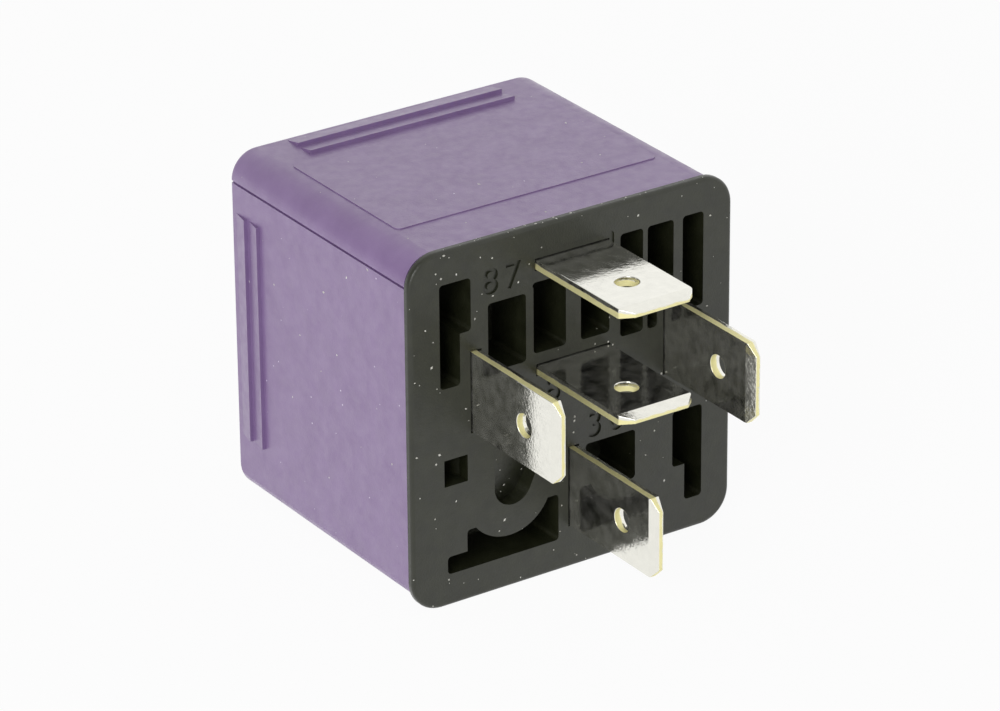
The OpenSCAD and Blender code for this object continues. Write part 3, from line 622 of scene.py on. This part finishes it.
def resistor_body():
    """Dog-bone body: r = waist + (end - waist) * smoothstep, with quarter-round shoulders."""
    low, high = box("resistor")
    half = (high[0] - low[0]) / 2
    end_r = (high[2] - low[2]) / 2
    waist = 0.86 * end_r
    cap, shoulder = 0.5 * half, 0.15 * half
    x = half * np.sin(np.linspace(-math.pi / 2, math.pi / 2, 72))
    swell = np.clip((np.abs(x) - (half - cap)) / (0.4 * cap), 0, 1)
    body = waist + (end_r - waist) * swell * swell * (3 - 2 * swell)
    past = np.clip((np.abs(x) - (half - shoulder)) / shoulder, 0, 1)
    radius = body - (0.45 * end_r) * (1 - np.sqrt(1 - past * past))
    turn = np.linspace(0, TAU, 40, endpoint=False)
    points = np.stack([x[:, None] + 0 * turn, JOINT_Y + radius[:, None] * np.cos(turn),
                       (low[2] + high[2]) / 2 + radius[:, None] * np.sin(turn)], axis=-1)
    piece("resistor_body", [skin(points)], lacquered_ceramic(low[0], high[0]),
          "resistor")


def braided_lead():
    """Copper braid: a tube whose radius rises where either of two opposed helices passes.

    r = R (0.9 + 0.1 max(cos(4 u + k s), cos(4 u - k s))), with s the length gone along the path.
    """
    low, high = box("braid")
    reach = 0.6 * MM
    side_x, foot_y, foot_z = high[0] - reach, low[1] + reach, low[2] + reach
    top_z, end_x, leaf_y = high[2] - reach, low[0] + 0.2 * MM, high[1] - reach - 0.1 * MM
    foot_x = side_x - 4.4 * MM
    foot = [(foot_x, foot_y, foot_z), (foot_x + 1.0 * MM, foot_y, foot_z)]
    sweep = bezier([(foot_x + 1.6 * MM, foot_y + 0.17 * MM, foot_z),
                    (side_x, foot_y + 2.4 * MM, foot_z + 1.0 * MM),
                    (side_x, leaf_y + 0.4 * MM, top_z - 1.0 * MM),
                    (side_x - 5.0 * MM, leaf_y + 0.1 * MM, top_z)], 120)
    end = [(side_x - 7.0 * MM, leaf_y, top_z), (end_x, leaf_y, top_z)]
    path = np.concatenate([foot, sweep, end])
    gone = np.concatenate([[0], np.cumsum(np.linalg.norm(np.diff(path, axis=0), axis=1))])
    even = np.linspace(0, gone[-1], 260)
    path = np.stack([np.interp(even, gone, path[:, k]) for k in range(3)], axis=-1)
    sides, strands, lay_length = 32, 4, 2.4 * MM
    turn = np.arange(sides) * TAU / sides
    lay = TAU / lay_length * even[:, None]
    ridge = np.maximum(np.cos(strands * turn + lay), np.cos(strands * turn - lay))
    nearly_z = np.array([0.0, 0.05, 1.0])
    woven = tube(path, reach * (0.9 + 0.1 * ridge), sides, nearly_z)
    made = piece("braided_lead", [skin(woven)], BRAIDED_COPPER, "braid",
                 body=None)
    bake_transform(made)


def spring_wire():
    """Tension spring: legs on the axis, and between them a helix whose radius swells and sinks.

    x = r e cos a, z = r e sin a, y along the axis, with e rising from 0 to 1 over 3/4 of a turn.
    """
    low, high = box("return_spring")
    wire = 0.18 * MM
    radius = (high[0] - low[0]) / 2 - wire
    axis_z = (low[2] + high[2]) / 2
    turns, settle = 10, 0.75
    start_y, end_y = low[1] + wire, high[1] - wire
    coil_low, coil_high = start_y + 2.1 * MM, end_y - 2.65 * MM
    s = np.linspace(0, 1, turns * 32)
    swell = np.clip(np.minimum(s, 1 - s) * turns / settle, 0, 1)
    swell = swell * swell * (3 - 2 * swell)
    angle = TAU * (0.25 + turns * s)
    coil = np.stack([radius * swell * np.cos(angle), coil_low + (coil_high - coil_low) * s,
                     axis_z + radius * swell * np.sin(angle)], axis=-1)
    radial = np.stack([np.cos(angle), 0 * angle, np.sin(angle)], axis=-1)
    bend = 0.25 * MM
    tip = 0.75 * MM
    quarter = np.linspace(0, math.pi / 2, 8)
    hook = np.stack([bend + np.linspace(tip - bend, 0, 6), np.zeros(6), np.zeros(6)], axis=-1)
    arc = np.stack([bend * (1 - np.sin(quarter)), bend * (1 - np.cos(quarter)), 0 * quarter],
                   axis=-1)[1:]
    run_in = np.linspace(bend, coil_low - start_y, 12)[1:-1]
    leg_in = np.stack([0 * run_in, run_in, 0 * run_in], axis=-1)
    begin = np.concatenate([hook, arc, leg_in]) + [0, start_y, axis_z]
    run_out = np.linspace(coil_high, end_y - bend, 14)[1:]
    leg_out = np.stack([0 * run_out, run_out, 0 * run_out + axis_z], axis=-1)
    back = np.concatenate([hook, arc])[::-1] * [1, -1, 1] + [0, end_y, axis_z]
    path = np.concatenate([begin, coil, leg_out, back[1:]])
    up = np.array([[0.0, 0.0, 1.0]])
    reference = np.concatenate([np.repeat(up, len(begin), 0), radial,
                                np.repeat(up, len(leg_out) + len(back) - 1, 0)])
    made = piece("spring_wire", [skin(tube(path, wire, 12, reference))], SPRING_STEEL,
                 "return_spring", body=None)
    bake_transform(made)


coil_leads()
solder()
resistor_body()
braided_lead()
spring_wire()


# ---- Dust ----

def dust_flakes():
    """Flat eight-sided flakes 0.06 to 0.2 mm wide, where seeded rays meet the surface.

    A flake is a flat octahedron, turned at random round the surface normal: two rim points at
    its radius, two at up to 1.9 times that, and a point above and below at 0.35 of it.
    """
    rng = np.random.default_rng(87)
    on_front, on_roof, on_flank, on_seam = 150, 26, 24, 60
    least, spread, longest, flatness = 0.03 * MM, 0.07 * MM, 1.9, 0.35
    steepest = 0.7
    corners, quads = [], []
    for name in ("base", "cover", "terminal_30", "terminal_85", "terminal_86", "terminal_87",
                 "terminal_87a"):
        mesh = frame["nodes"][name].data
        base = len(corners)
        corners += [v.co.copy() for v in mesh.vertices]
        quads += [[base + k for k in polygon.vertices] for polygon in mesh.polygons]
    surface = BVHTree.FromPolygons(corners, quads)
    low, high = np.array(cad_box[0]), np.array(cad_box[1])
    front = rng.beta(1.1, 1.3, on_front), rng.beta(1.3, 1.0, on_front)
    roof = rng.uniform(0, 1, on_roof), rng.beta(1.0, 1.4, on_roof)
    flank = rng.beta(1.2, 1.0, on_flank), rng.uniform(0, 1, on_flank)
    rays = [((low[0] + a * (high[0] - low[0]), low[1] - MM, b * high[2]), (0, 1, 0))
            for a, b in zip(*front)]
    rays += [((low[0] + a * (high[0] - low[0]), FACE_Y + b * (high[1] - FACE_Y), high[2] + MM),
              (0, 0, -1)) for a, b in zip(*roof)]
    rays += [((low[0] - MM, FACE_Y + a * (high[1] - FACE_Y), b * high[2]), (1, 0, 0))
             for a, b in zip(*flank)]
    rays += [((low[0] + a * (high[0] - low[0]), FACE_Y + (0.2 + 0.9 * b) * MM, high[2] + MM),
              (0, 0, -1)) for a, b in rng.uniform(0, 1, (on_seam, 2))]
    verts, faces = [], []
    for origin, way in rays:
        place, normal, _, _ = surface.ray_cast(Vector(origin), Vector(way))
        radius = least + spread * rng.random() ** 2.5
        turn, stretch = rng.uniform(0, TAU), rng.uniform(1.0, longest)
        if place is None or abs(normal.dot(Vector(way))) < steepest:
            continue
        side = normal.orthogonal().normalized()
        ahead = normal.cross(side)
        long = (side * math.cos(turn) + ahead * math.sin(turn)) * radius * stretch
        wide = normal.cross(long).normalized() * radius
        thick = normal * radius * flatness
        base = len(verts)
        verts += [place + way_out for way_out in (long, wide, -long, -wide, thick, -thick)]
        for k in range(4):
            faces += [[base + k, base + (k + 1) % 4, base + 4],
                      [base + (k + 1) % 4, base + k, base + 5]]
    points = np.array([tuple(v) for v in verts])
    piece("dust_flakes", [(points, faces)], DUST, smooth=False)


dust_flakes()


# ---- Stage ----

def camera():
    """A long lens on the terminal face, seen from its left and above."""
    turn, down, roll = math.radians(33.888), math.radians(25.333), math.radians(-0.482)
    ahead = Vector((math.sin(turn) * math.cos(down), math.cos(turn) * math.cos(down),
                    -math.sin(down)))
    level = Vector((math.cos(turn), -math.sin(turn), 0))
    upward = level.cross(ahead)
    right = level * math.cos(roll) + upward * math.sin(roll)
    above = upward * math.cos(roll) - level * math.sin(roll)
    aim = Vector((-1.317, 0.694, CENTRE_Z / MM + 0.452)) * MM
    distance = 0.38828
    made = bpy.data.objects.new("camera", bpy.data.cameras.new("camera"))
    bpy.context.scene.collection.objects.link(made)
    made.matrix_world = (Matrix.Translation(aim - distance * ahead)
                         @ Matrix((right, above, -ahead)).transposed().to_4x4())
    made.data.lens = 191.82
    made.data.sensor_width = 36
    made.data.clip_start = 0.01
    bpy.context.scene.camera = made


def lamp(name, place, size, power):
    """A square soft white lamp that faces the object."""
    light = bpy.data.lights.new(name, "AREA")
    light.size = size
    light.energy = power
    made = bpy.data.objects.new(name, light)
    bpy.context.scene.collection.objects.link(made)
    place = Vector(place)
    made.location = place
    made.rotation_euler = (place - Vector((0, 0, CENTRE_Z))).to_track_quat("Z", "Y").to_euler()
    made.visible_camera = False


def seen_white(tree, kind, share, shaded, extra):
    """Mixes plain white, for camera, glossy and transmission rays, with what gives the light.

    Share is how much of it those rays see as white. Extra is what glossy rays find beyond full
    white, as of a screen that stands nearer.
    """
    rays = tree.nodes.new("ShaderNodeLightPath").outputs
    seen = add(tree, "Math", {0: rays["Is Camera Ray"], 1: rays["Is Glossy Ray"]},
               operation="MAXIMUM")
    seen = add(tree, "Math", {0: seen, 1: rays["Is Transmission Ray"]}, operation="MAXIMUM")
    weight = add(tree, "Math", {0: seen, 1: share}, operation="MULTIPLY")
    level = add(tree, "Math", {0: rays["Is Glossy Ray"], 1: extra, 2: 1.0},
                operation="MULTIPLY_ADD")
    white = add(tree, kind, {"Color": (1, 1, 1, 1), "Strength": level})
    return add(tree, "MixShader", {0: weight, 1: shaded, 2: white})


def floor():
    """Pale paper floor that shows as white and keeps a faint shadow."""
    reach = 3.0
    mesh = bpy.data.meshes.new("floor")
    corners = [(-reach, -reach), (reach, -reach), (reach, reach), (-reach, reach)]
    mesh.from_pydata([(x, y, cad_box[0][2]) for x, y in corners], [], [(0, 1, 2, 3)])
    made = bpy.data.objects.new("floor", mesh)
    bpy.context.scene.collection.objects.link(made)
    paper = bpy.data.materials.new("paper")
    paper.use_nodes = True
    tree = paper.node_tree
    tree.nodes.clear()
    shade = add(tree, "BsdfDiffuse", {"Color": linear("F2F2F4")})
    add(tree, "OutputMaterial", {0: seen_white(tree, "Emission", 0.94, shade, 0.4)})
    mesh.materials.append(paper)


def world():
    """White surroundings: seen at full white, lighting the object a little less.

    Gloss finds them brighter on the right, where the screen is, and darker on the left.
    """
    made = bpy.data.worlds.new("surroundings")
    bpy.context.scene.world = made
    made.use_nodes = True
    tree = made.node_tree
    tree.nodes.clear()
    dim = add(tree, "Background", {"Color": (1, 1, 1, 1), "Strength": 0.42})
    where = add(tree, "SeparateXYZ", {0: add(tree, "TexCoord", out="Generated")})
    screen = add(tree, "MapRange", {"Value": where, "From Min": -0.8, "From Max": 0.65,
                                    "To Min": -0.6, "To Max": 0.5})
    add(tree, "OutputWorld", {0: seen_white(tree, "Background", 1.0, dim, screen)})


camera()
floor()
world()
lamp("key", (-0.75, -0.5, 0.43), 0.5, 5.5)
bpy.context.scene.view_settings.view_transform = "Standard"
